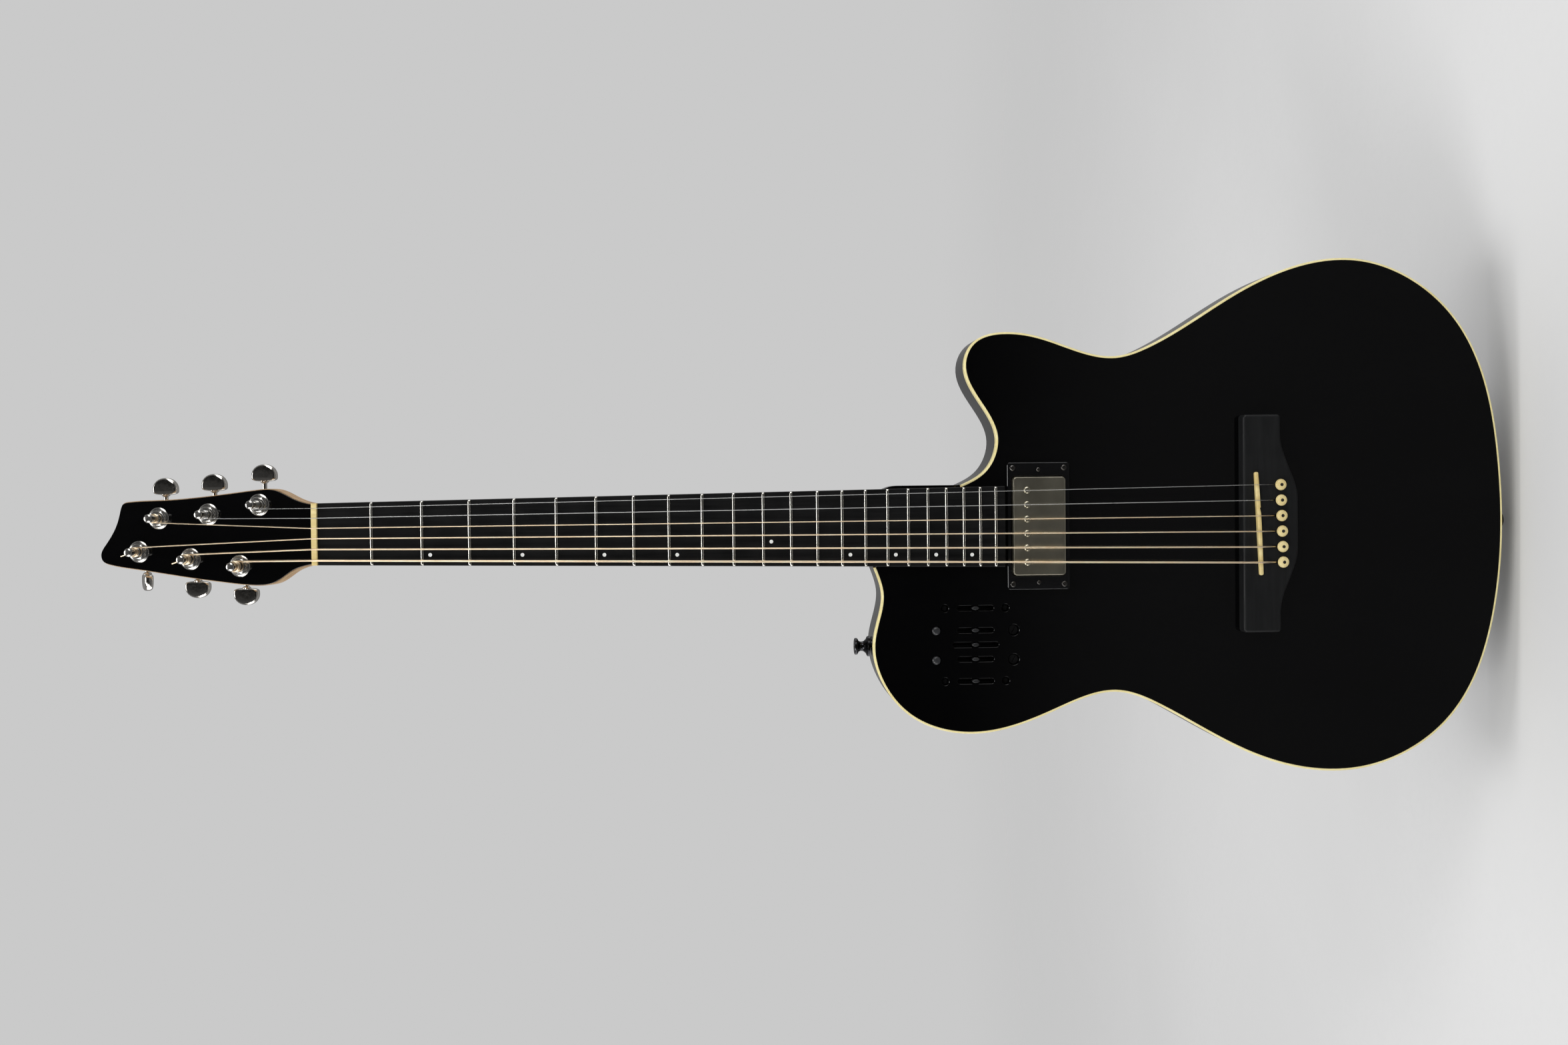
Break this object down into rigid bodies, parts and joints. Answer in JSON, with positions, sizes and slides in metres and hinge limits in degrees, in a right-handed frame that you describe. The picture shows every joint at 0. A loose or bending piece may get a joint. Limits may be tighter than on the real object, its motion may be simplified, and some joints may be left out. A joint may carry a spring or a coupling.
{
  "type": "acoustic-electric guitar",
  "caption": "Chambered-body acoustic-electric guitar with a cutaway, pin bridge, magnetic pickup, slider preamp, bolted neck and raked headstock with geared tuners",
  "frame": {"origin": "on the centre line at the front edge of the nut, on the fingerboard's surface, where a hanger's fork takes the neck", "axes": "+Z along the neck towards the headstock, the face towards -Y, +X towards the treble (cutaway) side"},
  "size_m": [0.3613, 0.0687, 0.9988],
  "materials": {
    "lacquered_black": "gloss",
    "neck_wood": "satin",
    "board_wood": "satin",
    "cream_edge": "gloss",
    "cream_white": "satin",
    "fret_metal": "polished",
    "plain_string": "polished",
    "wound_string": "satin",
    "tuner_metal": "polished",
    "pickup_metal": "satin",
    "black_plastic": "gloss",
    "dark_plastic": "satin",
    "grey_plastic": "satin",
    "battery_case": "gloss",
    "plated_metal": "polished"
  },
  "bodies": {
    "guitar": {"body_core": "lacquered_black", "top_plate": "lacquered_black", "head_veneer": "lacquered_black", "neck": "neck_wood", "fingerboard": "board_wood", "bridge": "board_wood", "binding": "cream_edge", "nut": "cream_white", "saddle": "cream_white", "bridge_pins": "cream_white", "frets": "fret_metal", "truss_rod": "fret_metal", "string_1": "plain_string", "string_2": "plain_string", "string_3": "wound_string", "string_4": "wound_string", "string_5": "wound_string", "string_6": "wound_string", "tuner_housing_1": "tuner_metal", "tuner_housing_2": "tuner_metal", "tuner_housing_3": "tuner_metal", "tuner_housing_4": "tuner_metal", "tuner_housing_5": "tuner_metal", "tuner_housing_6": "tuner_metal", "pickup_cover": "pickup_metal", "pickup_poles": "pickup_metal", "pickup_ring": "black_plastic", "jack_plate": "black_plastic", "pickup_coils": "dark_plastic", "preamp": "dark_plastic", "control_cover": "dark_plastic", "battery_box": "dark_plastic", "saddle_transducer": "dark_plastic", "battery": "battery_case", "output_jack_1": "plated_metal", "output_jack_2": "plated_metal", "neck_plate": "plated_metal", "strap_button_1": "plated_metal", "strap_button_2": "plated_metal"},
    "post_1": {"tuner_post_1": "tuner_metal"},
    "key_1": {"tuner_key_1": "tuner_metal"},
    "post_2": {"tuner_post_2": "tuner_metal"},
    "key_2": {"tuner_key_2": "tuner_metal"},
    "post_3": {"tuner_post_3": "tuner_metal"},
    "key_3": {"tuner_key_3": "tuner_metal"},
    "post_4": {"tuner_post_4": "tuner_metal"},
    "key_4": {"tuner_key_4": "tuner_metal"},
    "post_5": {"tuner_post_5": "tuner_metal"},
    "key_5": {"tuner_key_5": "tuner_metal"},
    "post_6": {"tuner_post_6": "tuner_metal"},
    "key_6": {"tuner_key_6": "tuner_metal"},
    "slider_1": {"slider_1": "grey_plastic"},
    "slider_2": {"slider_2": "grey_plastic"},
    "slider_3": {"slider_3": "grey_plastic"},
    "slider_4": {"slider_4": "grey_plastic"},
    "slider_5": {"slider_5": "grey_plastic"},
    "button_1": {"push_button_1": "grey_plastic"},
    "button_2": {"push_button_2": "grey_plastic"},
    "lid": {"battery_lid": "dark_plastic"}
  },
  "joints": [
    {"name": "key_turn_1", "type": "hinge", "parent": "guitar", "child": "key_1", "pos_m": [0.0206, 0.03128, 0.04441], "axis": [1, 0, 0], "continuous": true},
    {"name": "key_turn_2", "type": "hinge", "parent": "guitar", "child": "key_2", "pos_m": [0.0143, 0.0382, 0.08137], "axis": [1, 0, 0], "continuous": true},
    {"name": "key_turn_3", "type": "hinge", "parent": "guitar", "child": "key_3", "pos_m": [0.0119, 0.04501, 0.11774], "axis": [1, 0, 0], "continuous": true},
    {"name": "key_turn_4", "type": "hinge", "parent": "guitar", "child": "key_4", "pos_m": [-0.0114, 0.0478, 0.13268], "axis": [1, 0, 0], "continuous": true},
    {"name": "key_turn_5", "type": "hinge", "parent": "guitar", "child": "key_5", "pos_m": [-0.0166, 0.04072, 0.09484], "axis": [1, 0, 0], "continuous": true},
    {"name": "key_turn_6", "type": "hinge", "parent": "guitar", "child": "key_6", "pos_m": [-0.0216, 0.03401, 0.05896], "axis": [1, 0, 0], "continuous": true},
    {"name": "post_turn_1", "type": "hinge", "parent": "guitar", "child": "post_1", "pos_m": [0.0206, 0.01165, 0.04279], "axis": [0, -0.9829, 0.184], "continuous": true},
    {"name": "post_turn_2", "type": "hinge", "parent": "guitar", "child": "post_2", "pos_m": [0.0143, 0.01857, 0.07975], "axis": [0, -0.9829, 0.184], "continuous": true},
    {"name": "post_turn_3", "type": "hinge", "parent": "guitar", "child": "post_3", "pos_m": [0.0119, 0.02537, 0.11612], "axis": [0, -0.9829, 0.184], "continuous": true},
    {"name": "post_turn_4", "type": "hinge", "parent": "guitar", "child": "post_4", "pos_m": [-0.0114, 0.02817, 0.13106], "axis": [0, -0.9829, 0.184], "continuous": true},
    {"name": "post_turn_5", "type": "hinge", "parent": "guitar", "child": "post_5", "pos_m": [-0.0166, 0.02109, 0.09322], "axis": [0, -0.9829, 0.184], "continuous": true},
    {"name": "post_turn_6", "type": "hinge", "parent": "guitar", "child": "post_6", "pos_m": [-0.0216, 0.01437, 0.05734], "axis": [0, -0.9829, 0.184], "continuous": true},
    {"name": "slider_move_1", "type": "slide", "parent": "guitar", "child": "slider_1", "axis": [0, 0, 1], "range_m": [-0.0098, 0.0098]},
    {"name": "slider_move_2", "type": "slide", "parent": "guitar", "child": "slider_2", "axis": [0, 0, 1], "range_m": [-0.0098, 0.0098]},
    {"name": "slider_move_3", "type": "slide", "parent": "guitar", "child": "slider_3", "axis": [0, 0, 1], "range_m": [-0.0132, 0.0132]},
    {"name": "slider_move_4", "type": "slide", "parent": "guitar", "child": "slider_4", "axis": [0, 0, 1], "range_m": [-0.0098, 0.0098]},
    {"name": "slider_move_5", "type": "slide", "parent": "guitar", "child": "slider_5", "axis": [0, 0, 1], "range_m": [-0.0098, 0.0098]},
    {"name": "button_press_1", "type": "slide", "parent": "guitar", "child": "button_1", "axis": [0, 1, 0], "range_m": [0, 0.0012], "stiffness_N_per_m": 400, "springref_m": -0.001},
    {"name": "button_press_2", "type": "slide", "parent": "guitar", "child": "button_2", "axis": [0, 1, 0], "range_m": [0, 0.0012], "stiffness_N_per_m": 400, "springref_m": -0.001},
    {"name": "lid_hinge", "type": "hinge", "parent": "guitar", "child": "lid", "pos_m": [-0.008, 0.05119, -0.59871], "axis": [-1, 0, 0], "range_deg": [0, 100]}
  ],
  "couplings": [
    {"joint": "post_turn_1", "follows": "key_turn_1", "ratio": 0.066667},
    {"joint": "post_turn_2", "follows": "key_turn_2", "ratio": 0.066667},
    {"joint": "post_turn_3", "follows": "key_turn_3", "ratio": 0.066667},
    {"joint": "post_turn_4", "follows": "key_turn_4", "ratio": -0.066667},
    {"joint": "post_turn_5", "follows": "key_turn_5", "ratio": -0.066667},
    {"joint": "post_turn_6", "follows": "key_turn_6", "ratio": -0.066667}
  ]
}
